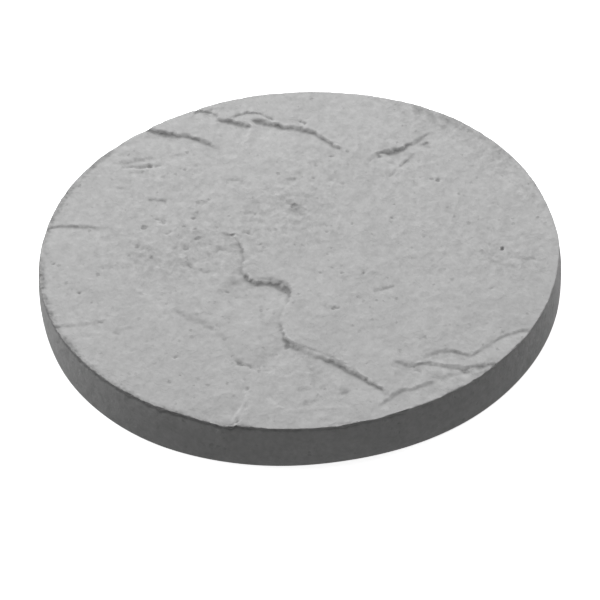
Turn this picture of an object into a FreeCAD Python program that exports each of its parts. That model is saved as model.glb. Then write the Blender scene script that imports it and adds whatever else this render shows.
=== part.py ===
"""Round garden stepping stone, cast in concrete with a riven tread.

One solid: a slab turned from its section, with the ledges of split slate cut into its
top. Millimetres, +Z up, origin at the centre of the bed face that lies on the ground.
"""

import FreeCAD
import Part

import math
import os

# Section of the cast slab.
DIAMETER = 406.0        # across the middle of the side, the widest part
THICKNESS = 38.0        # bed to the high ground of the tread
BED_SETBACK = 1.0       # the side bulges: its foot lies this far inside the widest part
TREAD_SETBACK = 1.5     # and its head this far
ARRIS_RADIUS = 1.0      # rounding of the tread's edge
BED_EDGE_RADIUS = 1.0   # rounding of the bed's edge

# Riven tread. A ledge drops from the high ground down a steep scarp, and the floor
# below climbs back at a gentle slope.
SCARP_LEAN = 45.0       # degrees from the vertical
FLOOR_SLOPE = 3.0       # degrees from the level
FADE_RISE = 0.3         # height over the tread at which a ledge that dies out ends
DRAWN_RADIUS = 202.0    # radius of the tread that the ledges below are drawn on

# Each ledge: the bearing in which the ground drops, in degrees from +X towards +Y, and
# the foot of its scarp as (x, y, depth below the high ground), with the low ground on the
# right hand. A depth of 0 is where it dies out. A ledge that runs out through the side
# ends beyond it.
LEDGES = {
    "back_left": (-95, [
        (-140, 178, 0.4), (-124, 172.5, 0.4), (-113, 168.5, 1.1), (-104, 165, 2.6), (-91, 160.3, 2.2),
        (-79, 157, 2.0), (-70, 151, 2.0), (-62, 145.3, 1.8), (-57, 139, 0.6), (-53, 132, 0),
    ]),
    "back_short": (-105, [
        (-59, 178.5, 0), (-53, 175, 1.5), (-46, 171.3, 1.9), (-39, 168, 2.1), (-33, 166.2, 2.1),
        (-28, 164.6, 1.0), (-23, 163, 0),
    ]),
    "back_long": (-115, [
        (-30, 173, 0), (-24, 170, 1.9), (-18, 167.2, 2.8), (-6, 161.8, 2.4), (6, 157.8, 2.1),
        (16.5, 152, 2.0), (25.5, 143.7, 1.7), (33, 135.5, 1.7), (38, 128, 0.8), (42, 120, 0),
    ]),
    "back_right": (-60, [
        (57, 107, 0), (61.5, 115.5, 0.5), (68, 121.5, 1.2), (78, 122.3, 3.0), (88.6, 126, 2.0),
        (98.6, 133.6, 1.6), (106.8, 140, 0.8), (114, 147, 0),
    ]),
    "left_short": (-88, [
        (-212, 58.5, 0.7), (-190, 58.4, 0.9), (-174, 57.6, 1.2), (-161, 55.4, 1.2), (-151, 52.4, 0.5),
        (-141, 49.5, 0),
    ]),
    "centre_to_front": (-135, [
        (-50, 40, 0), (-45.8, 24.3, 0.7), (-42, 9, 1.0), (-43.5, -5, 1.1), (-42, -15, 1.9),
        (-36, -23.5, 2.9), (-24.5, -25, 3.0), (-17, -28.8, 3.4), (-11.5, -35.2, 3.1), (-8.5, -44, 2.0),
        (-12, -55, 1.3), (-17, -66, 1.3), (-17.6, -76, 1.6), (-16.4, -87.5, 1.3), (-12, -98, 2.9),
        (-1, -110, 2.1), (13, -118.5, 2.0), (27.6, -130.3, 2.7), (43.3, -146.6, 2.0), (55.5, -158.5, 1.8),
        (63, -167.5, 0.8), (70, -175, 0),
    ]),
    "front_left": (172, [
        (-63, -76, 0), (-61, -88, 1.2), (-55.5, -103.5, 1.1), (-50, -119, 1.2), (-47, -138, 1.0),
        (-46.5, -157, 0.9), (-50.5, -174, 1.6), (-59.5, -193, 2.0), (-68, -212, 2.2),
    ]),
    "right_upper": (-95, [
        (84, -133, 0), (91, -126.5, 0.5), (99, -122, 1.0), (109, -120.3, 1.4), (119, -123, 1.5),
        (129, -127, 1.1), (138, -119.8, 1.0), (151, -110, 0.9), (168, -103, 1.0), (190, -97, 1.0),
    ]),
    "right_middle": (-92, [
        (65, -130, 0), (73, -132, 1.3), (84, -134.3, 1.6), (95, -132.6, 1.5), (109, -136.6, 1.3),
        (124, -140.6, 1.8), (138, -139.8, 1.2), (154, -137, 1.0), (174, -135, 1.0),
    ]),
    "right_lower": (-62, [
        (50, -187, 0), (56.5, -178.5, 0.7), (63.2, -172, 1.9), (72.4, -165, 1.4), (84, -161.3, 1.4),
        (93.8, -157.3, 1.4), (103, -153.5, 0),
    ]),
}

# Worked out from the sizes above.
BED_RADIUS = DIAMETER / 2 - BED_SETBACK
TREAD_RADIUS = DIAMETER / 2 - TREAD_SETBACK
LEDGE_SCALE = TREAD_RADIUS / DRAWN_RADIUS


def rounding(radius, x, z, first):
    """The quarter turn of a rounded edge in the section, about a centre, from its first angle."""
    turn = [math.radians(first + angle) for angle in (0, 45, 90)]
    return Part.Arc(
        *[FreeCAD.Vector(x + radius * math.cos(a), 0, z + radius * math.sin(a)) for a in turn]
    ).toShape()


def cast_slab():
    """The slab as it would leave a plain mould: its section turned about the Z axis."""
    bed_edge = rounding(BED_EDGE_RADIUS, BED_RADIUS - BED_EDGE_RADIUS, BED_EDGE_RADIUS, -90)
    arris = rounding(ARRIS_RADIUS, TREAD_RADIUS - ARRIS_RADIUS, THICKNESS - ARRIS_RADIUS, 0)
    bed_end, foot = [vertex.Point for vertex in bed_edge.Vertexes]
    head, tread_end = [vertex.Point for vertex in arris.Vertexes]
    widest = FreeCAD.Vector(DIAMETER / 2, 0, THICKNESS / 2)
    side = Part.Arc(foot, widest, head).toShape()
    centre_line = [FreeCAD.Vector(0, 0, THICKNESS), FreeCAD.Vector(0, 0, 0)]
    inside = Part.makePolygon([tread_end] + centre_line + [bed_end])
    section = Part.Face(Part.Wire([bed_edge, side, arris] + inside.Edges))
    return section.revolve(FreeCAD.Vector(0, 0, 0), FreeCAD.Vector(0, 0, 1), 360)


def spline(points, stations):
    """A smooth edge through points, each reached at its own station along the ledge."""
    curve = Part.BSplineCurve()
    curve.interpolate(Points=points, Parameters=stations)
    return curve.toShape()


def flake(bearing, scarp):
    """The wedge of stone that split away below a ledge, to be cut from the slab.

    Its section across the ledge is a triangle with the scarp on one side and the floor
    on the other, and its lid stands clear of the tread.
    """
    angle = math.radians(bearing)
    downhill = FreeCAD.Vector(math.cos(angle), math.sin(angle), 0)
    along = FreeCAD.Vector(-math.sin(angle), math.cos(angle), 0)
    scarp_run = math.tan(math.radians(SCARP_LEAN))
    floor_run = 1 / math.tan(math.radians(FLOOR_SLOPE))
    clear = max(depth for _, _, depth in scarp)
    stations, foot, scarp_top, floor_top = [], [], [], []
    for x, y, depth in scarp:
        drop = depth or -FADE_RISE
        lift = FreeCAD.Vector(0, 0, drop + clear)
        low = FreeCAD.Vector(x * LEDGE_SCALE, y * LEDGE_SCALE, THICKNESS - drop)
        stations.append(low.dot(along))
        foot.append(low)
        scarp_top.append(low + lift - downhill * (lift.z * scarp_run))
        floor_top.append(low + lift + downhill * (lift.z * floor_run))
    low_edge = spline(foot, stations)
    high_edge = spline(scarp_top, stations)
    far_edge = spline(floor_top, stations)
    ends = [
        Part.makePolygon([foot[i], floor_top[i], scarp_top[i], foot[i]]) for i in (0, -1)
    ]
    lid = Part.Wire([
        high_edge,
        Part.makeLine(scarp_top[-1], floor_top[-1]),
        far_edge,
        Part.makeLine(floor_top[0], scarp_top[0]),
    ])
    shell = Part.makeShell(
        [Part.makeRuledSurface(low_edge, high_edge), Part.makeRuledSurface(low_edge, far_edge)]
        + [Part.Face(wire) for wire in [lid] + ends]
    )
    shell.sewShape()
    return Part.makeSolid(shell)


def stepping_stone():
    """The whole stone: the slab with every ledge split away."""
    stone = cast_slab()
    for bearing, scarp in LEDGES.values():
        stone = stone.cut(flake(bearing, scarp))
    return stone


os.makedirs("parts", exist_ok=True)
stone = stepping_stone()
solid = stone.Solids[0]
solid.exportStep("parts/stepping_stone.step")
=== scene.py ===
"""Dress the garden stepping stone: riven cast concrete on a pale studio floor.

The stone is modelled in millimetres, as it is drawn, and turned into the frame's metres
when its mesh is made. The studio is in metres. +Z is up and the viewer stands at -Y.
"""

import logging
import math
from dataclasses import dataclass
from enum import Enum
from typing import Any

import bpy
import numpy as np
from mathutils import Matrix, Vector
from mathutils.bvhtree import BVHTree
from mathutils.geometry import delaunay_2d_cdt


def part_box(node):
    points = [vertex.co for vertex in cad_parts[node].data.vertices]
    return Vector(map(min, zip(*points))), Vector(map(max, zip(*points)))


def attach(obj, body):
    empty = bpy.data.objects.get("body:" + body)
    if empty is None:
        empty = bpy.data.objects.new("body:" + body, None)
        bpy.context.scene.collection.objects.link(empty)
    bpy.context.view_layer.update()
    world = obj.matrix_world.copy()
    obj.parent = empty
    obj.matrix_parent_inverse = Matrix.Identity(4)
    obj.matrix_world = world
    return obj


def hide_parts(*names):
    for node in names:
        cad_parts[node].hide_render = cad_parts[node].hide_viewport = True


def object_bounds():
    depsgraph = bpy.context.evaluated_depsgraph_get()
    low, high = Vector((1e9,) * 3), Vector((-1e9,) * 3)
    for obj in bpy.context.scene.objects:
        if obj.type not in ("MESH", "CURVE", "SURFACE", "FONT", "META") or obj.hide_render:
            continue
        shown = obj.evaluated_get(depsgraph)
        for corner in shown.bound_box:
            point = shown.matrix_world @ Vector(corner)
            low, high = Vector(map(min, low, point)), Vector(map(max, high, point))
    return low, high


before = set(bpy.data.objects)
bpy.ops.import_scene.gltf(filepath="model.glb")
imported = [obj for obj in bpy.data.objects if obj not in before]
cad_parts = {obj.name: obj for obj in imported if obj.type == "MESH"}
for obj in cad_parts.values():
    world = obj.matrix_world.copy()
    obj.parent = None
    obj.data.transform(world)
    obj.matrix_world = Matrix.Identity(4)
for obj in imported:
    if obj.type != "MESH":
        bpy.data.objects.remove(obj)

LOG = logging.getLogger("stepping_stone")
MM = 0.001
CAD_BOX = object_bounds()

# Short names for types.
Array = np.ndarray
Pair = tuple[float, float]
Triple = tuple[float, float, float]
Socket = bpy.types.NodeSocket

# Sockets of a Mix node for colours that share a name, by number.
MIX_SHARE = 0
MIX_FIRST = 6
MIX_SECOND = 7
MIX_RESULT = 2


def grey(level: float) -> tuple[float, float, float, float]:
    """Give a neutral colour of one level."""
    return (level, level, level, 1.0)


class Signal:
    """A value that runs through a shader graph, for use in Python expressions."""

    def __init__(self, graph: "ShaderGraph", socket: Socket) -> None:
        """Wrap one output of a node, with the graph that holds it."""
        self.graph = graph
        self.socket = socket

    def _math(self, operation: str, first: "Signal | float", second: "Signal | float") -> "Signal":
        """Add a Math node and give its result."""
        node = self.graph.node("ShaderNodeMath", {"operation": operation}, {0: first, 1: second})
        return Signal(self.graph, node.outputs[0])

    def __add__(self, other: "Signal | float") -> "Signal":
        """Sum of two values."""
        return self._math("ADD", self, other)

    __radd__ = __add__

    def __sub__(self, other: "Signal | float") -> "Signal":
        """Difference of two values."""
        return self._math("SUBTRACT", self, other)

    def __rsub__(self, other: float) -> "Signal":
        """Difference from a number on the left."""
        return self._math("SUBTRACT", other, self)

    def __mul__(self, other: "Signal | float") -> "Signal":
        """Product of two values."""
        return self._math("MULTIPLY", self, other)

    __rmul__ = __mul__

    def part(self) -> "Signal":
        """What is left of a value above its whole number."""
        return self._math("FRACT", self, 0.0)

    def step(self, low: float, high: float) -> "Signal":
        """Ease from 0 to 1 between two levels.

        Args:
            low: The level that gives 0.
            high: The level that gives 1, which may be the smaller of the two.

        Returns:
            The eased value.
        """
        node = self.graph.node(
            "ShaderNodeMapRange",
            {"interpolation_type": "SMOOTHSTEP"},
            {"Value": self, "From Min": low, "From Max": high},
        )
        return Signal(self.graph, node.outputs["Result"])


class ShaderGraph:
    """The nodes of one material."""

    CLOUD_ROUGHNESS = 0.55
    CLOUD_MIDDLE = 0.5
    CLOUD_GAIN = 3.0

    def __init__(self, name: str) -> None:
        """Start an empty material.

        Args:
            name: The material's name.
        """
        self.material = bpy.data.materials.new(name)
        self.material.use_nodes = True
        self.tree = self.material.node_tree
        self.tree.nodes.clear()

    def node(
        self,
        kind: str,
        settings: dict[str, Any] | None = None,
        sockets: dict[str | int, Any] | None = None,
    ) -> bpy.types.Node:
        """Add a node.

        Args:
            kind: The node's type.
            settings: The node's own properties, set first.
            sockets: Values, signals or sockets for its inputs, by name or number.

        Returns:
            The new node.
        """
        node = self.tree.nodes.new(kind)
        for key, value in (settings or {}).items():
            setattr(node, key, value)
        for key, value in (sockets or {}).items():
            source = value.socket if isinstance(value, Signal) else value
            if isinstance(source, Socket):
                self.tree.links.new(source, node.inputs[key])
            else:
                node.inputs[key].default_value = source
        return node

    def position(self, stretch: Triple = (1.0, 1.0, 1.0)) -> Socket:
        """Give the place on the object in millimetres.

        Args:
            stretch: Factor along each axis; below 1 it draws a texture out.

        Returns:
            The socket that carries the place.
        """
        place = self.node("ShaderNodeTexCoord").outputs["Object"]
        factor = tuple(share / MM for share in stretch)
        scaled = self.node("ShaderNodeVectorMath", {"operation": "MULTIPLY"}, {0: place, 1: factor})
        return scaled.outputs["Vector"]

    def noise(self, place: Socket, size: float, detail: float, seed: float) -> Signal:
        """Add cloudy noise.

        Args:
            place: Where on the object, in millimetres.
            size: Width of a cloud in millimetres.
            detail: Number of finer layers.
            seed: Offset along the fourth axis, to set layers apart.

        Returns:
            The noise, around 0 and mostly within -1 and 1.
        """
        node = self.node(
            "ShaderNodeTexNoise",
            {"noise_dimensions": "4D"},
            {
                "Vector": place,
                "W": seed,
                "Scale": 1 / size,
                "Detail": detail,
                "Roughness": self.CLOUD_ROUGHNESS,
            },
        )
        return (Signal(self, node.outputs["Fac"]) - self.CLOUD_MIDDLE) * self.CLOUD_GAIN

    def wobbled(self, place: Socket, size: float, reach: float) -> Socket:
        """Shift places at random, so that round forms turn ragged.

        Args:
            place: Where on the object, in millimetres.
            size: Width of a wobble in millimetres.
            reach: How far apart the furthest shifts lie, in millimetres.

        Returns:
            The socket that carries the shifted place.
        """
        node = self.node("ShaderNodeTexNoise", {}, {"Vector": place, "Scale": 1 / size, "Detail": 1.0})
        spread = self.node(
            "ShaderNodeVectorMath",
            {"operation": "MULTIPLY_ADD"},
            {0: node.outputs["Color"], 1: (reach, reach, reach), 2: place},
        )
        return spread.outputs["Vector"]

    def attribute(self, name: str) -> Signal:
        """Read a value that the mesh holds at its vertices."""
        node = self.node("ShaderNodeAttribute", {"attribute_name": name})
        return Signal(self, node.outputs["Fac"])

    def surface(self, **sockets: Any) -> bpy.types.Material:
        """Close the graph with a principled shader.

        Args:
            **sockets: Values for the shader's inputs, with spaces written as underscores.

        Returns:
            The finished material.
        """
        named = {key.replace("_", " "): value for key, value in sockets.items()}
        shader = self.node("ShaderNodeBsdfPrincipled", {}, named)
        self.node("ShaderNodeOutputMaterial", {}, {"Surface": shader.outputs["BSDF"]})
        return self.material


@dataclass(frozen=True)
class CastConcrete:
    """Dry, sandy cast concrete in neutral grey. Sizes are in millimetres."""

    dark: float = 0.19
    pale: float = 0.66
    middle: float = 0.5
    stretch: Triple = (1.0, 0.75, 1.0)
    cloud_size: float = 38.0
    cloud_share: float = 0.05
    mottle_size: float = 5.0
    mottle_share: float = 0.12
    mottle_relief: float = 0.15
    sand_size: float = 2.2
    sand_share: float = 0.04
    sand_relief: float = 0.05
    sand_gloss: float = 0.06
    rough_share: float = 0.06
    speck_gap: float = 5.0
    speck_radius: float = 1.8
    speck_core: float = 0.3
    speck_edge: float = 1.1
    speck_wobble: float = 2.4
    speck_wobble_size: float = 2.0
    speck_shade: float = 0.22
    speck_relief: float = 0.19
    crest_highlight: float = 0.12
    hollow_shade: float = 0.34
    leaf_size: float = 20.0
    leaf_count: float = 5.0
    leaf_edge: Pair = (0.25, 0.75)
    leaf_relief: float = 0.12
    roughness: float = 0.9
    refraction: float = 1.45

    def material(self) -> bpy.types.Material:
        """Build the node material.

        Returns:
            The finished material.
        """
        graph = ShaderGraph("cast_concrete")
        place = graph.position(self.stretch)
        cloud = graph.noise(place, self.cloud_size, detail=3.0, seed=1.0)
        mottle = graph.noise(place, self.mottle_size, detail=1.0, seed=2.0)
        sand = graph.noise(place, self.sand_size, detail=1.0, seed=3.0)
        speck = self._specks(graph, place)
        wear_and_shade = graph.attribute("wear_and_shade")
        rough = graph.attribute("rough")
        tone = (
            self.middle
            + cloud * self.cloud_share
            + (mottle * self.mottle_share + sand * self.sand_share) * rough
            # Pinholes are painted darker as shade, besides their dip in the bump.
            - speck * self.speck_shade
            - (rough - 1.0) * self.rough_share
            # Painted highlight on crests and painted shade in hollows, creases and pits, on the arris and
            # along the seam, from the mesh attribute read above.
            + wear_and_shade.step(0.0, 1.0) * self.crest_highlight
            - wear_and_shade.step(0.0, -1.0) * self.hollow_shade
        )
        colour = graph.node(
            "ShaderNodeMix",
            {"data_type": "RGBA"},
            {MIX_SHARE: tone, MIX_FIRST: grey(self.dark), MIX_SECOND: grey(self.pale)},
        )
        height = (
            self._leaves(graph, place) * self.leaf_relief
            + (mottle * self.mottle_relief + sand * self.sand_relief) * rough
            - speck * self.speck_relief
        )
        bump = graph.node("ShaderNodeBump", {}, {"Distance": MM, "Height": height})
        return graph.surface(
            Base_Color=colour.outputs[MIX_RESULT],
            Roughness=self.roughness - self.sand_gloss * sand,
            Normal=bump.outputs["Normal"],
            IOR=self.refraction,
        )

    def _leaves(self, graph: ShaderGraph, place: Socket) -> Signal:
        """Step the ground in thin leaves, as slate splits.

        Args:
            graph: The graph to add to.
            place: Where on the object, in millimetres.

        Returns:
            The height in leaves.
        """
        level = graph.noise(place, self.leaf_size, detail=3.0, seed=4.0) * self.leaf_count
        rest = level.part()
        return level - rest + rest.step(*self.leaf_edge)

    def _specks(self, graph: ShaderGraph, place: Socket) -> Signal:
        """Scatter the pinholes that air bubbles leave.

        Args:
            graph: The graph to add to.
            place: Where on the object, in millimetres.

        Returns:
            Up to 1 inside a pinhole and 0 outside.
        """
        wobble = graph.wobbled(place, self.speck_wobble_size, self.speck_wobble)
        cells = graph.node("ShaderNodeTexVoronoi", {}, {"Vector": wobble, "Scale": 1 / self.speck_gap})
        chance = graph.node("ShaderNodeSeparateColor", {}, {0: cells.outputs["Color"]})
        bubble = Signal(graph, chance.outputs["Red"])
        strength = Signal(graph, chance.outputs["Green"])
        gap = Signal(graph, cells.outputs["Distance"]) * self.speck_gap
        inside = bubble * bubble * self.speck_radius - gap + self.speck_core
        return inside.step(0.0, self.speck_edge) * strength


@dataclass(frozen=True)
class PaleFloor:
    """White laminate laid over a lit table, so that it stays white around the stone."""

    white: float = 0.9
    glow: float = 0.82
    mottle_size: float = 60.0
    mottle_share: float = 0.05
    roughness: float = 0.8

    def material(self) -> bpy.types.Material:
        """Build the node material.

        Returns:
            The finished material.
        """
        graph = ShaderGraph("pale_floor")
        mottle = graph.noise(graph.position(), self.mottle_size, detail=2.0, seed=5.0)
        return graph.surface(
            Base_Color=grey(self.white),
            Roughness=self.roughness + self.mottle_share * mottle,
            Emission_Color=grey(1.0),
            Emission_Strength=self.glow,
        )


@dataclass(frozen=True)
class Bumps:
    """Smooth random relief over a plane, the same on every run.

    The size is the width of a bump, or its width and length, in the units of the places.
    """

    seed: int
    size: float | Pair
    height: float = 1.0

    PERIOD = 256
    GAIN = 1.5

    def at(self, spots: Array) -> Array:
        """Sample the relief.

        Args:
            spots: Places as rows of x and y.

        Returns:
            A value for each place, mostly within the height either way.
        """
        random = np.random.default_rng(self.seed)
        angle = random.uniform(0, math.tau, (self.PERIOD, self.PERIOD))
        slope = np.stack([np.cos(angle), np.sin(angle)], axis=-1)
        place = spots / np.asarray(self.size)
        cell = np.floor(place).astype(int)
        inside = place - cell
        ease = inside * inside * inside * (inside * (inside * 6 - 15) + 10)

        def corner(i: int, j: int) -> Array:
            """Height that one corner of the cell gives."""
            lean = slope[(cell[:, 0] + i) % self.PERIOD, (cell[:, 1] + j) % self.PERIOD]
            return ((inside - (i, j)) * lean).sum(axis=1)

        near = corner(0, 0) * (1 - ease[:, 0]) + corner(1, 0) * ease[:, 0]
        far = corner(0, 1) * (1 - ease[:, 0]) + corner(1, 1) * ease[:, 0]
        return self.height * ((near * (1 - ease[:, 1]) + far * ease[:, 1]) * self.GAIN)


@dataclass(frozen=True)
class Wander:
    """A random shift of places, so that straight edges turn ragged, in millimetres."""

    seed: int
    size: float
    reach: float

    def at(self, spots: Array) -> Array:
        """Give the shift of each place along x and y."""
        sides = [Bumps(self.seed + axis, self.size, self.reach) for axis in (0, 1)]
        return np.stack([side.at(spots) for side in sides], axis=-1)


def eased(values: Array, low: float, high: float) -> Array:
    """Ease values from 0 at a low level to 1 at a high one."""
    share = np.clip((values - low) / (high - low), 0, 1)
    return share * share * (3 - 2 * share)


class CreaseForm(Enum):
    """How the ground runs beside a crease."""

    LEDGE = "drops on the right hand, then climbs back"
    GROOVE = "dips along the line only"
    RIDGE = "stands up along the line only"


@dataclass(frozen=True)
class Crease:
    """A small mark of the split, drawn as a line in millimetres.

    It fades out over a share of its length at each end. A ledge climbs back over its reach.
    """

    form: CreaseForm
    points: tuple[Pair, ...]
    depth: float
    width: float = 1.4
    fade: float = 0.3
    reach: float = 8.0

    SPAN = 5

    def near(self, spots: Array) -> Array:
        """Pick the places that the mark can touch.

        Args:
            spots: Places as rows of x and y.

        Returns:
            True for each place within a few reaches of the line.
        """
        line = np.array(self.points, float)
        margin = self.SPAN * self.reach
        low = line.min(axis=0) - margin
        high = line.max(axis=0) + margin
        return ((spots > low) & (spots < high)).all(axis=1)

    def relief(self, spots: Array) -> Array:
        """Work out what the mark takes off the ground.

        Args:
            spots: Places as rows of x and y.

        Returns:
            The depth at each place.
        """
        line = np.array(self.points, float)
        runs = np.diff(line, axis=0)
        lengths = np.hypot(*runs.T)
        nearest = np.full(len(spots), np.inf)
        downhill = np.zeros(len(spots))
        travelled = np.zeros(len(spots))
        for start, run, length, passed in zip(line, runs, lengths, np.cumsum(lengths) - lengths):
            share = np.clip((spots - start) @ run / length ** 2, 0, 1)
            gap = spots - start - share[:, None] * run
            distance = np.hypot(*gap.T)
            right = np.sign(run[1] * gap[:, 0] - run[0] * gap[:, 1])
            closer = distance < nearest
            nearest = np.where(closer, distance, nearest)
            downhill = np.where(closer, right * distance, downhill)
            travelled = np.where(closer, passed + share * length, travelled)
        along = travelled / lengths.sum()
        taper = eased(along, 0, self.fade) * eased(1 - along, 0, self.fade)
        if self.form is CreaseForm.LEDGE:
            climb = np.exp(-np.clip(downhill, 0, None) / self.reach)
            return self.depth * taper * eased(downhill, -self.width, self.width) * climb
        bell = self.depth * taper * np.exp(-((nearest / self.width) ** 2))
        return bell if self.form is CreaseForm.GROOVE else -bell


@dataclass(frozen=True)
class Pit:
    """A hole in the face of the concrete, in millimetres."""

    x: float
    y: float
    radius: float
    depth: float

    SPAN = 2
    FLOOR = 0.25

    def near(self, spots: Array) -> Array:
        """Pick the places that the hole can touch."""
        return (np.abs(spots - (self.x, self.y)) < self.SPAN * self.radius).all(axis=1)

    def relief(self, spots: Array) -> Array:
        """Give the depth at each place."""
        distance = np.hypot(*(spots - (self.x, self.y)).T)
        return self.depth * (1 - eased(distance, self.FLOOR * self.radius, self.radius))


@dataclass(frozen=True)
class Patch:
    """A soft round area of the tread, in millimetres."""

    x: float
    y: float
    radius: float
    strength: float = 1.0

    def cover(self, spots: Array) -> Array:
        """Give the patch's share at each place."""
        distance = np.hypot(*(spots - (self.x, self.y)).T)
        return self.strength * np.exp(-((distance / self.radius) ** 2))


def trail(points: tuple[Pair, ...], radius: float, strength: float) -> tuple[Patch, ...]:
    """Lay patches along a line.

    Args:
        points: The corners of the line.
        radius: Radius of each patch.
        strength: Strength of each patch.

    Returns:
        The patches, about a radius apart.
    """
    line = np.array(points, float)
    passed = np.concatenate([[0.0], np.cumsum(np.hypot(*np.diff(line, axis=0).T))])
    stops = np.linspace(0, passed[-1], math.ceil(passed[-1] / radius) + 1)
    places = np.column_stack([np.interp(stops, passed, line[:, axis]) for axis in (0, 1)])
    return tuple(Patch(x, y, radius, strength) for x, y in places)


@dataclass(frozen=True)
class RimStrip:
    """A strip of crumbled ground along the rim, by bearing in degrees, in millimetres."""

    first: float
    last: float
    width: float
    strength: float

    FADE = 8
    FULL = 0.4

    def cover(self, spots: Array, rim: float) -> Array:
        """Give the strip's share at each place.

        Args:
            spots: Places as rows of x and y.
            rim: Radius of the rim.

        Returns:
            Up to the strip's strength at the rim and 0 away from it.
        """
        bearing = np.degrees(np.arctan2(spots[:, 1], spots[:, 0])) % 360
        inward = rim - np.hypot(*spots.T)
        start = eased(bearing, self.first, self.first + self.FADE)
        end = eased(-bearing, -self.last, self.FADE - self.last)
        return self.strength * (start * end) * (1 - eased(inward, self.FULL * self.width, self.width))


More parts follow.
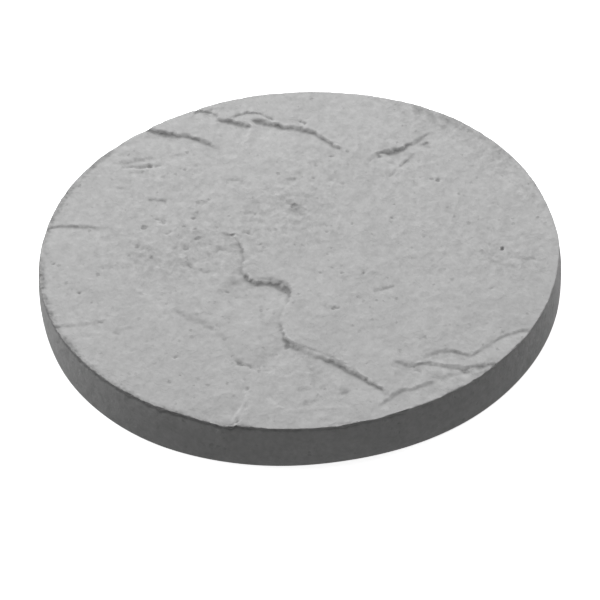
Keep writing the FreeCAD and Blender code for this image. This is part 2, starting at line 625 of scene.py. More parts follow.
# Small marks of the split between the drawn ledges: line, depth, width, fade and reach.
CREASE_ROWS = {
    CreaseForm.LEDGE: (
        (
            ((-47, 175), (-40, 179), (-33, 180.5), (-25, 179.5), (-19, 176), (-14, 172), (-10, 167)),
            1, 1, 0.12, 4,
        ),
        (((-74, 188.5), (-66, 185.5), (-60, 183), (-54, 179.5)), 1.7, 1.8, 0.15, 6),
        (((-63, 186), (-56, 188), (-48, 188)), 0.6),
        (((71, 87), (78, 97), (84, 107), (92, 116), (100, 123)), 0.95, 1.6, 0.2),
        (((99, 131), (104, 130), (111, 129.5)), 0.7, 1.8, 0.3, 5),
        (((64, 118.5), (68, 117.5), (73, 118)), 0.5, 1.4, 0.3, 5),
        (
            ((-15, -94), (-5, -101), (4, -106), (12, -112), (22, -119), (32, -129), (41, -139)),
            0.7, 1, 0.15, 4,
        ),
        (((117, -141), (126, -145), (132, -148.5), (139, -149)), 0.9, 2),
        (
            ((92, -133), (97, -134), (102, -135.5), (111, -138.5), (120, -141.5), (129, -142)),
            0.6, 1.3, 0.15, 5,
        ),
        (((95, -147), (100, -148), (107, -149.5), (115, -147), (122, -144.5)), 0.8, 3),
        (((-162, 76), (-161, 67), (-160, 58)), 0.4),
        (((-196, -61), (-184, -60.3), (-172, -60), (-159, -58.7), (-151, -57.5)), 0.95, 1.8, 0.15),
        (((-146, -68), (-136, -68.5), (-128, -67)), 0.6, 1.8),
        (((-148, -72), (-140, -73)), 0.5),
        (((-150, 130), (-134, 130.5), (-112, 133), (-80, 137)), 0.6, 2.4, 0.25),
        (((-138, 130), (-125, 131), (-105, 132)), 0.4, 3),
        (((-100, 133), (-88, 135.5), (-74, 139)), 0.5, 2.6),
        (((-131, 121.5), (-124, 119), (-117, 117), (-110, 116.5)), 0.75, 2.4),
        (((-90, 127.5), (-81, 128)), 0.5, 2.4),
        (((-115, 85.5), (-107, 83), (-97, 80.5)), 0.95, 1.8, 0.2, 6),
        (((-146, 104), (-138, 101), (-124, 97)), 0.65, 2, 0.2, 6),
        (((-54, 103), (-46, 101), (-36, 98.5)), 0.85, 1.8, 0.2, 6),
        (((-77, 77.5), (-66, 75)), 0.75, 1.8, 0.2, 6),
        (((-42, 61), (-28, 58.5)), 0.75, 1.8, 0.2, 6),
        (((-86, 9), (-83.5, 1), (-78, -4.5), (-72, -6.5), (-65, -5)), 0.9, 2),
        (((-63, 23), (-57, 18), (-50, 14.5)), 0.9, 2),
        (((-60, 38), (-53, 35.5), (-47, 33)), 0.9, 1.4, 0.3, 5),
        (((-45, 38), (-38, 35.5), (-32, 33.5)), 0.9, 1.4, 0.3, 5),
        (((-78, -71), (-73, -73), (-67, -75.5)), 0.6, 3),
        (((37, -196), (38, -208)), 0.8, 1.4, 0.1, 20),
        (((54, -43), (64, -40.5), (74, -38)), 0.95, 1.8, 0.15, 5),
        (((146, -15), (157, -21), (164, -25), (174, -26.5)), 0.55, 2, 0.2),
        (((167, -15), (176, -17.5), (186, -18)), 0.5, 1.4, 0.2, 5),
        (((28, 96), (35, 91), (43, 85)), 0.6, 2),
        (((-8, 97), (4, 98)), 0.6),
        (((-36, -19), (-23, -20.5), (-14, -24.5), (-8.5, -31), (-6, -40)), 1.2, 2, 0.2, 6),
        (((-103, 164.5), (-92, 160.5), (-83, 158)), 0.5, 1.5, 0.2, 6),
        (((-50, 174), (-41, 170.5), (-33, 167.5)), 0.6, 1.6, 0.2, 5),
        (((-31, 173.5), (-24, 170.8), (-16, 167.5)), 0.5, 1.6, 0.2, 5),
    ),
    CreaseForm.GROOVE: (
        (((7, 168), (10, 164), (14, 160)), 0.8),
        (((66, 119), (60, 111), (58.5, 105), (60, 99)), 0.4, 2),
        (((83, -138), (87, -142), (90, -146)), 0.5),
        (((-8, -120), (0, -127), (8, -133)), 0.5, 3),
        (((-7, -168), (3, -169.5), (13, -171)), 0.4, 3),
        (((-134, 124), (-114, 123.5), (-97, 125)), 0.8, 2.2, 0.25),
        (((-110, 60), (-105, 56), (-101, 52)), 0.8, 1.8, 0.2),
        (((-103, 38.5), (-99.5, 42), (-96, 45)), 0.6, 2),
        (((-81, 31.5), (-77, 32), (-73.5, 33.5)), 0.6, 1.8),
        (((-129, -24), (-119, -34), (-107, -46)), 0.25),
        (((-102, -50), (-95, -55), (-88, -62), (-79, -67)), 0.6, 3.6),
        (((-55, -113), (-51, -119), (-46, -122), (-40, -124)), 0.9, 2.2),
        (((-43.5, -156), (-46, -166), (-50, -175)), 0.3, 1.8),
    ),
    CreaseForm.RIDGE: (
        (((-72, 25), (-69, 17), (-65, 9)), 0.5),
        (((-66, 24), (-60, 21), (-53, 18)), 0.4),
        (((-133, -16), (-124.5, -26), (-117, -35), (-110, -44)), 0.4, 1.8),
        (((-81, -53), (-79, -60), (-76, -66)), 0.4),
        (((-46, -149), (-47.5, -160), (-51, -170), (-56, -181), (-62, -191)), 0.7, 1.8, 0.15),
        (((-50, -134), (-50, -148)), 0.4, 2),
        (
            ((36, -179), (17, -178.5), (3, -178), (-10, -179.5), (-22, -175), (-29, -166), (-36, -160)),
            0.3, 1.9, 0.15,
        ),
        (((142, -1), (144, -6), (147, -10)), 0.6),
    ),
}
CREASES = tuple(Crease(form, *row) for form, rows in CREASE_ROWS.items() for row in rows)

# Holes that air and lost grains left: x, y, radius and depth.
PITS = tuple(Pit(*row) for row in (
    (158, -4, 2.2, 2.1), (-111.5, 124, 3.6, 0.75), (-37.5, 36, 2.8, 0.6), (-118.5, 50, 4, 0.75),
    (-1, 64, 4.4, 0.95), (-5, 69, 5, 0.6), (25, -61, 2.8, 0.8), (28, -61, 2.6, 0.6),
    (112.5, 83.2, 3, 0.7), (107.5, 85, 2.8, 0.5), (31, 121.5, 2.5, 0.54), (-79.5, 57, 2.5, 0.48),
    (-78.5, 44, 2.5, 0.54), (-77, 34, 2.8, 0.54), (-87, 48, 2.2, 0.42), (-49, 34, 2.4, 0.48),
    (-87, 22, 4.5, 0.48), (-122, 16, 2.8, 0.42), (-114, 14, 2.8, 0.48), (-124, 27, 3, 0.42),
    (-171, -23, 2.5, 0.48), (-190, 13, 2.2, 0.42), (-29, 20, 2.8, 0.42), (-57, -33, 2.5, 0.48),
    (-105, -43, 2.4, 0.42), (49.5, -21, 2.2, 0.54), (33, -20, 2.4, 0.36), (26, -13, 2.1, 0.36),
    (17, -18, 2.2, 0.42), (8, -40, 2.8, 0.42), (23, 30, 2.4, 0.42), (26, 10, 2.1, 0.36),
    (75, 42, 2.2, 0.42), (142, 33, 2.2, 0.42), (118, -37, 3, 0.36), (148, -50, 2.4, 0.36),
    (16, 96, 2.2, 0.48), (9, 128, 3.2, 0.42), (68, 118, 2.5, 0.48), (105, 130, 2.8, 0.48),
    (143, 83, 2.5, 0.36), (-61, -89, 2.5, 0.3), (-45.5, -149, 2.8, 0.3), (-47.5, -138, 2.4, 0.4),
    (-43, -124, 2.2, 0.42), (-100, -107, 2.5, 0.42), (-116, -113, 2.5, 0.3), (-83, -135, 2.8, 0.3),
    (-133, -96, 2.8, 0.3), (-84, 117, 3, 0.36), (-75, 120, 2.8, 0.42), (-61, 184.5, 3.4, 0.6),
    (28, -160, 6.2, 0.36), (-14, -101, 4.2, 0.54),
))

# Where the ground is rougher than elsewhere: x, y, radius and strength.
ROUGH_PATCHES = tuple(Patch(*row) for row in (
    (-5, 45, 34, 0.6), (-5, 75, 20, 0.5), (-70, 20, 40, 0.7), (-110, 100, 40, 0.25), (140, -141, 8, 1.2),
    (10, -165, 26, 0.15), (0, -120, 20, 0.45), (120, 20, 60, 0.2), (20, 110, 40, 0.35),
    (-120, 15, 26, 0.5), (100, 167, 18, 0.9), (135, 143, 20, 1), (165, 105, 18, 1.2), (185, 65, 14, 0.7),
    (105, -145, 22, 0.5), (165, -20, 22, 0.4), (80, 110, 26, 0.3),
))

# Where the ledges are worn round: x, y, radius and strength, or full strength.
WORN_PATCHES = tuple(Patch(*row) for row in (
    (-13, -53, 13, 0.6), (-26, -25, 13, 0.55), (-20, -70, 9, 0.6), (-60, -92, 20), (-47, -135, 20),
    (-55, -175, 16, 0.6), (-62, 137, 9, 0.7), (0, -112, 14, 0.7),
))

# Painted shading: x, y, radius and strength; above 0 painted shade along creases and scarps, in pits and
# along the right-back rim, below 0 a painted highlight along lit ridges and scarps.
PAINTED_SHADING = (
    *(Patch(*row) for row in (
        (0.5, 63, 5.5, 1.8), (98, -147, 5, 0.4), (106, -149.5, 5, 0.45), (114, -147, 5, 0.4),
        (135, -143.5, 4.5, 0.6), (-64, 184.5, 5, 0.5), (-111, 168, 5, 0.4), (-92, 161.5, 6, 0.7),
        (-42, 170, 5, 0.5), (-27, 171.5, 5, 0.4), (-33, -21, 4, 0.5), (-28, -21, 4, 0.7),
        (-22, -21.5, 4, 0.8), (-15.5, -24.5, 4, 0.9), (-10, -29.5, 4, 0.7), (-14, -30.5, 3, 1.1),
        (88, -133.5, 4, -0.4), (66, -170, 4, -0.3), (-118, 50, 4.5, 1), (-77, 58, 4, 0.8),
        (27, -159, 5.5, 1.2), (-95, -56, 8, 0.35), (-80, -66, 8, 0.45), (-68, -73, 7, 0.4),
        (-56, -78, 6, 0.35), (-106, 83, 6, 0.4), (111, 85, 5, 0.6), (-37, -62, 8, 0.4),
        (-28, -66, 7, 0.35), (-22, -50, 8, 0.35), (-13, -60, 6, 0.3), (-6, -34, 5, 0.55),
        (-7, -43, 5, 0.4), (28, -12, 5, 0.45), (36, -20, 5, 0.45), (47, -25, 6, 0.55),
        (57, -22, 5, 0.45), (26, -61.3, 3, 1), (-38, -139, 9, 0.3), (-25, -141, 7, 0.3),
        (-183, -78, 6, 0.7), (-178, -88, 5, 0.5), (-65, 100, 8, 0.4), (139, -142, 6, 0.45),
        (101, 167, 8, 0.3), (112, 160, 9, 0.5), (123, 151, 9, 0.5), (134, 141, 8, 0.4),
        (146, 130, 7, 0.3), (-72.6, -58.8, 3, 0.5), (-78, -67, 4, 0.5), (-70, -73, 4, 0.4),
        (-1, -171, 5, 0.6), (6, -172, 5, 0.6), (78, 106, 6, 0.4), (107, 126.5, 4, 0.7),
        (-128, 128, 6, 0.3), (-120, 124.5, 6, 0.4), (-111, 122.5, 5, 0.4), (-78.4, 41.6, 3.5, 0.8),
        (-78, 32, 3.5, 0.6), (-74.5, 33, 3, 0.6), (-122.5, 25.5, 4, 0.6), (-114.5, 22.5, 4, 0.5),
        (-119, 15, 4, 0.5), (-112, 12.5, 4, 0.6), (-51, -23.2, 5, 0.5), (-56, 28.5, 4.5, 0.5),
        (-45, 20, 4, 0.5), (-43.5, 12, 4, 0.4),
    )),
    *trail(
        ((32, -178), (15, -177), (-3, -178.5), (-13, -179), (-20, -177), (-26, -170), (-32, -164)),
        2.6, -0.6,
    ),
    *trail(((-46, -156), (-48.5, -164.5), (-52, -173.5), (-57, -182), (-60.5, -189)), 2.6, -0.6),
    *trail(((-126, -27), (-114, -40), (-108, -48)), 2.4, -0.6),
    *trail(((-84, -51), (-77, -57), (-72, -63.5)), 2.4, -0.5),
)

# Crumbled rim: first and last bearing, width and strength.
RIM_STRIPS = tuple(RimStrip(*row) for row in (
    (4, 76, 5, 0.55), (128, 172, 2.6, 1.7), (172, 262, 3.6, 1.35), (162, 200, 6, 0.7),
))


@dataclass
class RivenTread:
    """The split-slate top of the stone as a field of heights, in millimetres."""

    shape: BVHTree
    radius: float
    top: float
    pitch: float = 0.5
    margin: float = 9.0
    clear: float = 1.0
    ledge_wander: tuple[Wander, ...] = (Wander(11, 2.6, 0.6), Wander(21, 7.0, 1.6))
    softness: Bumps = Bumps(31, 14.0)
    softness_levels: Pair = (-0.5, 0.5)
    crisp: float = 0.4
    soft: float = 1.1
    worn: float = 3.0
    mark_wander: tuple[Wander, ...] = (Wander(41, 5.0, 1.0), Wander(45, 2.2, 0.6))
    mark_strength: float = 0.9
    mark_change: Bumps = Bumps(43, 9.0, 0.35)
    scarp_blur: float = 0.8
    scarp_levels: Pair = (0.08, 0.9)
    crumble: float = 0.9
    fine_crumbs: Bumps = Bumps(51, 2.6, 0.3)
    broad_crumbs: Bumps = Bumps(52, 6.0, 0.8)
    rim_strength: float = 0.85
    rim_change: Bumps = Bumps(55, 2.6, 0.6)
    # How much darker the crumbled rim is made.
    rim_darkening: float = 0.13
    rim_roughness: float = 0.8
    painted_shading: float = 0.3
    painted_shading_change: Bumps = Bumps(56, 6.0, 0.6)
    broad_waves: Bumps = Bumps(61, 75.0, 0.30)
    middle_waves: Bumps = Bumps(62, 24.0, 0.10)
    plain_roughness: float = 0.8
    coarse_grain: Bumps = Bumps(71, (5.0, 6.4), 0.245)
    fine_grain: Bumps = Bumps(72, (2.6, 3.2), 0.07)
    broad_grain: Bumps = Bumps(73, (12.0, 10.0), 0.11)
    streaks: Bumps = Bumps(74, (15.0, 4.0), 0.08)
    streak_ends: Pair = (-80.0, 80.0)
    slope_spread: float = 1.5
    hollow_reach: float = 2.0
    full_relief: float = 0.45

    LAST_SHARE = 0.999

    def __post_init__(self) -> None:
        """Work out the field and what is derived from it."""
        reach = self.radius + self.margin
        self.line = np.arange(-reach, reach, self.pitch)
        across, along = np.meshgrid(self.line, self.line)
        self.places = np.stack([across.ravel(), along.ravel()], axis=-1)
        crumbled = self._crumbled_rim()
        self.roughness = self.plain_roughness + self._cover(ROUGH_PATCHES) + self.rim_roughness * crumbled
        ground = self._ledges() - self._marks()
        self.slopes = self._widest(self._slope(ground), self.slope_spread)
        ground += self._crumbs(ground) + self._over(self.broad_waves) + self._over(self.middle_waves)
        # Ground below its rounded self, a hollow, is painted as shade; ground above it, a crest, is painted
        # as a highlight.
        self.relief = ground - self._softened(ground, self.hollow_reach)
        # The painted shade and painted highlights of the patch list go in here too.
        self.relief -= self.rim_darkening * crumbled + self._painted_shading()
        self.levels = ground + self._grain()

    def heights(self, spots: Array) -> Array:
        """Give the height of the tread at places."""
        return self.read(self.levels, spots)

    def wear_and_shade(self, spots: Array) -> Array:
        """Give the painted shading at each place, up to 1 for a highlight on ground that stands out and down
        to -1 for shade in a hollow or a painted mark.
        """
        return np.clip(self.read(self.relief, spots) / self.full_relief, -1, 1)

    def steep(self, spots: Array, slope: float) -> Array:
        """Tell which places lie beside ground that falls by more than a slope."""
        return self.read(self.slopes, spots) > slope

    def read(self, field: Array, spots: Array) -> Array:
        """Read a field between its cells.

        Args:
            field: One value for each cell.
            spots: Places as rows of x and y.

        Returns:
            The value at each place.
        """
        place = np.clip((spots - self.line[0]) / self.pitch, 0, len(self.line) - 2 + self.LAST_SHARE)
        cell = place.astype(int)
        column, row = cell.T
        right, up = (place - cell).T
        near = field[row, column] * (1 - right) + field[row, column + 1] * right
        far = field[row + 1, column] * (1 - right) + field[row + 1, column + 1] * right
        return near * (1 - up) + far * up

    def _cells(self, values: Array) -> Array:
        """Lay out one value for each place as the rows of a field."""
        return values.reshape(len(self.line), -1)

    def _over(self, layer: Bumps) -> Array:
        """Give random relief over the whole field."""
        return self._cells(layer.at(self.places))

    def _shifted(self, wanders: tuple[Wander, ...]) -> Array:
        """Shift the places of the field at random."""
        return sum((wander.at(self.places) for wander in wanders), self.places)

    def _cover(self, patches: tuple[Patch, ...]) -> Array:
        """Add up what patches cover of the field."""
        return self._cells(sum(patch.cover(self.places) for patch in patches))

    def _softened(self, field: Array, width: float) -> Array:
        """Round off a field.

        Args:
            field: One value for each cell.
            width: How wide the rounding is, in millimetres.

        Returns:
            The rounded field.
        """
        rate = np.fft.fftfreq(len(field), self.pitch)
        damping = np.exp(-2 * (math.pi * width * rate) ** 2)
        return np.fft.ifft2(np.fft.fft2(field) * np.outer(damping, damping)).real

    def _slope(self, field: Array) -> Array:
        """Give how steep a field is."""
        return np.hypot(*np.gradient(field, self.pitch))

    def _widest(self, field: Array, reach: float) -> Array:
        """Spread the largest values of a field over their surroundings.

        Args:
            field: One value for each cell.
            reach: How far a value spreads, in millimetres.

        Returns:
            The largest value around each cell.
        """
        cells = round(reach / self.pitch)
        for axis in (0, 1):
            field = np.max([np.roll(field, step, axis) for step in range(-cells, cells + 1)], axis=0)
        return field

    def _ledges(self) -> Array:
        """Read the ledges of the drawn solid, ragged and worn by turns.

        Returns:
            The height of each cell.
        """
        ragged = self._shifted(self.ledge_wander)
        reach = np.hypot(*ragged.T)
        held = ragged * np.minimum(1, self.radius / np.maximum(reach, self.pitch))[:, None]
        down = Vector((0, 0, -1))
        start = self.top + self.clear
        hits = [self.shape.ray_cast(Vector((x, y, start)), down)[0].z for x, y in held.tolist()]
        drawn = self._cells(np.array(hits))
        softness = eased(self._over(self.softness), *self.softness_levels)
        crisp = self._softened(drawn, self.crisp) * (1 - softness)
        mixed = crisp + self._softened(drawn, self.soft) * softness
        worn = np.clip(self._cover(WORN_PATCHES), 0, 1)
        return mixed * (1 - worn) + self._softened(drawn, self.worn) * worn

    def _marks(self) -> Array:
        """Add up what the small marks take off the ground.

        Returns:
            The depth at each cell.
        """
        shifted = self._shifted(self.mark_wander)
        depth = np.zeros(len(self.places))
        for mark in CREASES + PITS:
            near = mark.near(self.places)
            depth[near] += mark.relief(shifted[near])
        return self._cells(depth) * (self.mark_strength + self._over(self.mark_change))

    def _crumbs(self, ground: Array) -> Array:
        """Give what crumbs add to the height of steep ground."""
        steep = eased(self._softened(self._slope(ground), self.scarp_blur), *self.scarp_levels)
        return self.crumble * steep * (self._over(self.fine_crumbs) + self._over(self.broad_crumbs))

    def _crumbled_rim(self) -> Array:
        """Give how far the rim is crumbled, which changes from place to place."""
        strips = sum(strip.cover(self.places, self.radius) for strip in RIM_STRIPS)
        return self._cells(strips) * np.maximum(self.rim_strength + self._over(self.rim_change), 0)

    def _painted_shading(self) -> Array:
        """Give how dark the painted shade is and how pale the painted highlights are, blotchy at their edges.
        """
        return self.painted_shading * self._cover(PAINTED_SHADING) * np.maximum(1 + self._over(self.painted_shading_change), 0)

    def _grain(self) -> Array:
        """Work out the sandy grain, which is stronger in rough patches and streaky on the left.

        Returns:
            What the grain adds to the height of each cell.
        """
        grain = self._over(self.coarse_grain) + self._over(self.fine_grain) + self._over(self.broad_grain)
        streaky = self._cells(eased(-self.places[:, 0], *self.streak_ends))
        return self.roughness * (grain + streaky * self._over(self.streaks))


@dataclass(frozen=True)
class Swell:
    """Where the cast stone stands out of round, by bearing in degrees, in millimetres."""

    bearing: float
    spread: float
    height: float

    def lift(self, bearings: Array) -> Array:
        """Give how far the rim is pushed out at bearings."""
        turn = (bearings - math.radians(self.bearing) + math.pi) % math.tau - math.pi
        return self.height * np.exp(-((turn / math.radians(self.spread)) ** 2))


# Bearing, spread and height of each swell of the tread's rim and of the bed's.
TREAD_SWELLS = tuple(Swell(*row) for row in (
    (14, 9, -0.8), (52, 14, 1), (84, 11, -0.5), (112, 10, -0.5), (146, 14, 1.6), (180, 8, 0.4),
    (240, 36, -0.9), (332, 26, 1.25), (0, 5, 0.6), (235, 3, 0.6), (240, 3, -0.5), (251, 2, 1),
    (255, 3, -1.4), (277, 2, 0.7), (281, 3, -0.6), (285, 2, 0.7), (292, 4, -0.6),
))
BED_SWELLS = tuple(Swell(*row) for row in (
    (192, 12, -1.1), (233, 15, 1.4), (277, 14, -1.3), (308, 12, 0.6), (340, 15, -0.4),
))


@dataclass
class Ring:
    """One ring of the stone's side, by bearing, in millimetres."""

    radius: Array
    height: Array
    # Painted shade of the ring, below 0 where it is darker.
    wear_and_shade: Array


@dataclass
class SteppingStone:
    """The cast stone: riven tread, worn arris, plain side and flat bed, in millimetres."""

    node: str = "stepping_stone"
    body: str = "root"
    slot: str = "concrete"
    bed_setback: float = 1.0
    bed_edge: float = 1.0
    bed_edge_steps: int = 3
    bed_gap: float = 14.0
    bed_margin: float = 2.0
    tread_setback: float = 1.5
    field_setback: float = 1.2
    arris: float = 0.5
    arris_least: float = 0.2
    arris_steps: int = 4
    arris_shade: float = 0.9
    fine_wear: Bumps = Bumps(81, 4.0, 0.3)
    broad_wear: Bumps = Bumps(82, 13.0, 0.35)
    chips: Bumps = Bumps(83, 8.0)
    chip_levels: Pair = (0.25, 0.7)
    chip_depth: float = 1.1
    ragged: Bumps = Bumps(84, 5.5, 0.75)
    lip: float = 0.35
    lip_drop: float = 0.8
    seam_depth: float = 0.45
    seam_drop: float = 1.7
    seam_width: float = 1.3
    seam_strength: float = 0.8
    seam_change: Bumps = Bumps(91, (9.0, 30.0), 0.5)
    broad_cast: Bumps = Bumps(92, 19.0, 0.12)
    fine_cast: Bumps = Bumps(93, 6.0, 0.06)
    front_band: Pair = (0.2, 0.5)
    far_band: Pair = (-0.2, 0.3)
    far_fade: float = 0.6
    right_band: Pair = (0.1, 0.6)
    right_fade: float = 0.7
    rim_steps: int = 1280
    rim_gap: float = 0.5
    side_shares: tuple[float, ...] = (0.013, 0.028, 0.045, 0.065, 0.09, 0.15, 0.28, 0.45, 0.65, 0.85, 1.0)
    coarse: float = 1.7
    splits: tuple[float, ...] = (0.2, 0.75)
    jitter: float = 0.3
    weld: float = 1e-6

    INSIDE_ONLY = 1

    def __post_init__(self) -> None:
        """Read the drawn solid from the frame and set out the rims of the tread and the bed."""
        low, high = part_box(self.node)
        self.thickness = high.z / MM
        self.widest = (high.x - low.x) / 2 / MM
        self.bed_radius = self.widest - self.bed_setback
        self.tread_radius = self.widest - self.tread_setback
        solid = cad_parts[self.node].data
        shape = BVHTree.FromPolygons(
            [vertex.co / MM for vertex in solid.vertices],
            [tuple(face.vertices) for face in solid.polygons],
        )
        self.tread = RivenTread(shape, self.tread_radius - self.field_setback, self.thickness)
        self.bearings = np.linspace(0, math.tau, self.rim_steps, endpoint=False)
        self.outward = np.stack([np.cos(self.bearings), np.sin(self.bearings)], axis=-1)
        self.head = self.tread_radius + sum(swell.lift(self.bearings) for swell in TREAD_SWELLS)
        self.foot = self.bed_radius + sum(swell.lift(self.bearings) for swell in BED_SWELLS)
        right, far = self.outward.T
        self.front = eased(-far, *self.front_band)
        self.battered = 1 - self.far_fade * eased(far, *self.far_band)
        # Weight of the seam and of the painted shade on the arris and along the seam, less at the back and
        # the right.
        self.seam_and_shade_weight = (1 - self.right_fade * eased(right, *self.right_band)) * self.battered

    def build(self, finish: bpy.types.Material) -> bpy.types.Object:
        """Make the stone and set it in the frame.

        Args:
            finish: The concrete.

        Returns:
            The stone's object.
        """
        worn = self._worn_arris()
        rim = self.outward * (self.head - worn)[:, None]
        spots = np.concatenate([rim, self._inner_spots(rim)])
        heights = self.tread.heights(spots)
        rings = self._side_rings(worn, heights[: self.rim_steps])
        bed = self._grid(self.bed_gap, self.bed_radius - self.bed_edge - self.bed_margin)
        layers = [np.column_stack([spots, heights])]
        layers += [np.column_stack([self.outward * ring.radius[:, None], ring.height]) for ring in rings]
        layers += [np.column_stack([bed, np.zeros(len(bed))])]
        mesh = bpy.data.meshes.new("cast_stone")
        mesh.from_pydata((np.concatenate(layers) * MM).tolist(), [], self._faces(layers))
        mesh.polygons.foreach_set("use_smooth", np.ones(len(mesh.polygons), bool))
        # This attribute holds painted highlight above 0 and painted shade below 0, on the tread, the arris
        # and the seam line, and the darker crumbled rim.
        wear_and_shade = np.concatenate([self.tread.wear_and_shade(spots)] + [ring.wear_and_shade for ring in rings] + [np.zeros(len(bed))])
        rough = np.ones(len(mesh.vertices))
        rough[: len(spots)] = self.tread.read(self.tread.roughness, spots)
        for name, values in (("wear_and_shade", wear_and_shade), ("rough", rough)):
            mesh.attributes.new(name, "FLOAT", "POINT").data.foreach_set("value", values)
        mesh.materials.append(finish)
        stone = bpy.data.objects.new("cast_stone", mesh)
        bpy.context.collection.objects.link(stone)
        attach(stone, self.body)
        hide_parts(self.node)
        return stone

    def _faces(self, layers: list[Array]) -> list[tuple[int, ...]]:
        """Join the tread, the rings of the side and the bed.

        Args:
            layers: Vertices of the tread, of each ring from the top down, and of the bed.

        Returns:
            The faces, which look outward.
        """
        tread, *rings, bed = layers
        faces = self._fill(tread[:, :2])
        upper = np.arange(self.rim_steps)
        for i in range(len(rings)):
            lower = len(tread) + i * self.rim_steps + np.arange(self.rim_steps)
            faces += self._band(upper, lower)
            upper = lower
        number = np.concatenate([upper, upper[-1] + 1 + np.arange(len(bed))])
        bed_faces = self._fill(np.concatenate([rings[-1], bed])[:, :2])
        return faces + [tuple(number[list(face)][::-1]) for face in bed_faces]

    def _worn_arris(self) -> Array:
        """Wear and chip the edge of the tread, most of all at the front.

        Returns:
            The width of the worn edge at each bearing.
        """
        run = self.outward * self.tread_radius
        wear_and_shade = self.fine_wear.at(run) + self.broad_wear.at(run)
        chips = self.chip_depth * eased(self.chips.at(run), *self.chip_levels) * self.battered
        return np.maximum(self.arris + wear_and_shade + chips + self.front * self.ragged.at(run), self.arris_least)

    def _inner_spots(self, rim: Array) -> Array:
        """Scatter the tread's vertices, sparse on plain ground and close along marks.

        Args:
            rim: The ring that closes the tread.

        Returns:
            Places as rows of x and y.
        """
        limits = np.hypot(*rim.T)
        cells = self._grid(self.coarse, limits.max())
        width = self.coarse
        kept = []
        for slope in self.splits:
            steep = self.tread.steep(cells, slope)
            kept.append(self._jitter(cells[~steep], width))
            quarter = width / 4 * np.array([(-1, -1), (1, -1), (-1, 1), (1, 1)])
            cells = (cells[steep][:, None] + quarter).reshape(-1, 2)
            width /= 2
        kept.append(self._jitter(cells, width))
        spots = np.concatenate(kept)
        bearing = np.arctan2(spots[:, 1], spots[:, 0]) % math.tau
        limit = np.interp(bearing, self.bearings, limits, period=math.tau)
        return spots[np.hypot(*spots.T) < limit - self.rim_gap]

    def _grid(self, width: float, radius: float) -> Array:
        """Lay a square grid over a disc.

        Args:
            width: Gap between places.
            radius: The disc's radius.

        Returns:
            Places as rows of x and y.
        """
        count = math.ceil(2 * radius / width)
        line = (np.arange(count) - (count - 1) / 2) * width
        cells = np.stack(np.meshgrid(line, line), axis=-1).reshape(-1, 2)
        return cells[np.hypot(*cells.T) < radius]

    def _jitter(self, cells: Array, width: float) -> Array:
        """Move each place a little within its cell, the same way on every run."""
        random = np.random.default_rng(len(cells))
        return cells + random.uniform(-self.jitter, self.jitter, cells.shape) * width

    def _side_rings(self, worn: Array, rim_heights: Array) -> list[Ring]:
        """Stack the rings of the arris, the side and the edge of the bed.

        Args:
            worn: Width of the arris at each bearing.
            rim_heights: Height of the tread's rim at each bearing.

        Returns:
            The rings from the top down.
        """
        plain = np.zeros(self.rim_steps)
        rings = []
        for turn in np.linspace(0, math.pi / 2, self.arris_steps + 1)[1:]:
            radius = self.head + self.lip * math.sin(turn) - worn * (1 - math.sin(turn))
            height = rim_heights - worn * (1 - math.cos(turn))
            # The arris is painted darker as shade, most at the front left.
            rings.append(Ring(radius, height, -self.arris_shade * self.seam_and_shade_weight))
        shoulder = rim_heights - worn
        for share in self.side_shares:
            height = shoulder + (self.bed_edge - shoulder) * share
            drop = shoulder - height
            around = np.column_stack([self.bearings * self.bed_radius, height])
            # The seam is a groove in the side below the lip, and its line is also painted darker as shade.
            seam = np.exp(-(((drop - self.seam_drop) / self.seam_width) ** 2))
            seam *= (self.seam_strength + self.seam_change.at(around)) * self.seam_and_shade_weight
            proud = self.lip * np.exp(-((drop / self.lip_drop) ** 2)) - self.seam_depth * seam
            rough = self.broad_cast.at(around) + self.fine_cast.at(around)
            belly = 4 * share * (1 - share) * (self.bed_setback + self.tread_setback) / 2
            radius = self.head * (1 - share) + self.foot * share + belly + proud + rough * (1 - share)
            rings.append(Ring(radius, height, -seam))
        for turn in np.linspace(0, math.pi / 2, self.bed_edge_steps + 1)[1:]:
            radius = self.foot - self.bed_edge * (1 - math.cos(turn))
            rings.append(Ring(radius, self.bed_edge * (1 - math.sin(turn)) + plain, plain))
        return rings

    def _fill(self, spots: Array) -> list[tuple[int, ...]]:
        """Join places inside a ring into triangles.

        Args:
            spots: Places as rows of x and y, the ring first.

        Returns:
            The triangles, counter-clockwise from above.
        """
        ring = [(i, (i + 1) % self.rim_steps) for i in range(self.rim_steps)]
        corners = [Vector(spot) for spot in spots]
        _, _, faces, *_ = delaunay_2d_cdt(corners, ring, [], self.INSIDE_ONLY, self.weld, False)
        return [tuple(face) for face in faces]

    def _band(self, upper: Array, lower: Array) -> list[tuple[int, ...]]:
        """Join two rings with four-sided faces that look outward."""
        corners = np.stack([upper, lower, np.roll(lower, -1), np.roll(upper, -1)], axis=-1)
        return [tuple(face) for face in corners.tolist()]


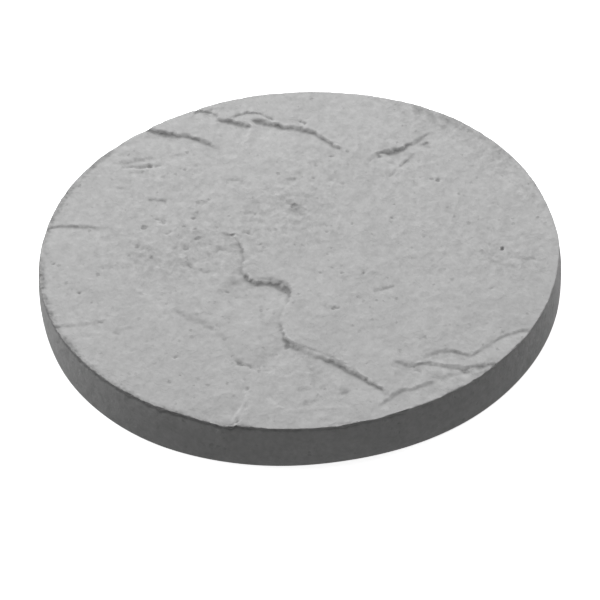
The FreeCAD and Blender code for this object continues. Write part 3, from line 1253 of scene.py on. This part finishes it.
@dataclass
class Studio:
    """Floor, soft light and camera, in metres."""

    elevation: float = math.radians(40.60)
    roll: float = math.radians(-3.81)
    distance: float = 18.0
    focal_pixels: float = 23162.0
    image_width: int = 600
    sensor_width: float = 36.0
    sight: float = 100.0
    stone_pixel: Pair = (299.78, 277.5)
    floor_radius: float = 20.0
    panel_place: Triple = (-0.44, 0.45, 1.50)
    panel_aim: Triple = (0.0, -0.92, -0.39)
    panel_size: Pair = (3.6, 2.9)
    panel_power: float = 62.7
    fill: float = 0.17

    def build(self, floor_finish: bpy.types.Material) -> None:
        """Set up the floor, the light and the camera.

        Args:
            floor_finish: The floor's material.
        """
        self._floor(floor_finish)
        self._light()
        self._camera()

    def _floor(self, finish: bpy.types.Material) -> None:
        """Lay a plain floor under the stone, whose glow doesn't light the stone.

        Args:
            finish: The floor's material.
        """
        reach = self.floor_radius
        mesh = bpy.data.meshes.new("floor")
        corners = [(-reach, -reach, 0.0), (reach, -reach, 0.0), (reach, reach, 0.0), (-reach, reach, 0.0)]
        mesh.from_pydata(corners, [], [(0, 1, 2, 3)])
        mesh.materials.append(finish)
        floor = bpy.data.objects.new("floor", mesh)
        floor.visible_diffuse = False
        bpy.context.collection.objects.link(floor)

    def _light(self) -> None:
        """Hang one broad soft panel behind the stone, fill the rest evenly and keep tones plain."""
        panel = bpy.data.lights.new("back_panel", "AREA")
        panel.shape = "RECTANGLE"
        panel.size, panel.size_y = self.panel_size
        panel.energy = self.panel_power
        lamp = bpy.data.objects.new("back_panel", panel)
        lamp.location = self.panel_place
        lamp.rotation_euler = Vector(self.panel_aim).to_track_quat("-Z", "Y").to_euler()
        bpy.context.collection.objects.link(lamp)
        world = bpy.data.worlds.new("even_fill")
        world.use_nodes = True
        backdrop = world.node_tree.nodes["Background"]
        backdrop.inputs["Color"].default_value = grey(1.0)
        backdrop.inputs["Strength"].default_value = self.fill
        bpy.context.scene.world = world
        bpy.context.scene.view_settings.view_transform = "Standard"

    def _camera(self) -> None:
        """Stand the camera where the photographer stood."""
        right = Vector((1.0, 0.0, 0.0))
        back = Vector((0.0, -math.cos(self.elevation), math.sin(self.elevation)))
        up = back.cross(right)
        across = right * math.cos(self.roll) + up * math.sin(self.roll)
        upward = up * math.cos(self.roll) - right * math.sin(self.roll)
        low, high = CAD_BOX
        pixel = self.distance / self.focal_pixels
        aside = (self.image_width / 2 - self.stone_pixel[0]) * pixel
        below = (self.image_width / 2 - self.stone_pixel[1]) * pixel
        aim = (Vector(low) + Vector(high)) / 2 + across * aside - upward * below
        optics = bpy.data.cameras.new("camera")
        optics.sensor_width = self.sensor_width
        optics.lens = self.focal_pixels / self.image_width * self.sensor_width
        optics.clip_end = self.sight
        camera = bpy.data.objects.new("camera", optics)
        turn = Matrix((across, upward, back)).transposed().to_4x4()
        camera.matrix_world = Matrix.Translation(aim + back * self.distance) @ turn
        bpy.context.collection.objects.link(camera)
        bpy.context.scene.camera = camera


def main() -> None:
    """Build the stone and the studio around it."""
    logging.basicConfig(level=logging.INFO, format="%(message)s")
    stone = SteppingStone().build(CastConcrete().material())
    triangles = sum(len(face.vertices) - 2 for face in stone.data.polygons)
    LOG.info("%s: %d triangles", stone.name, triangles)
    Studio().build(PaleFloor().material())
    LOG.info("studio set")


if __name__ == "__main__":
    main()
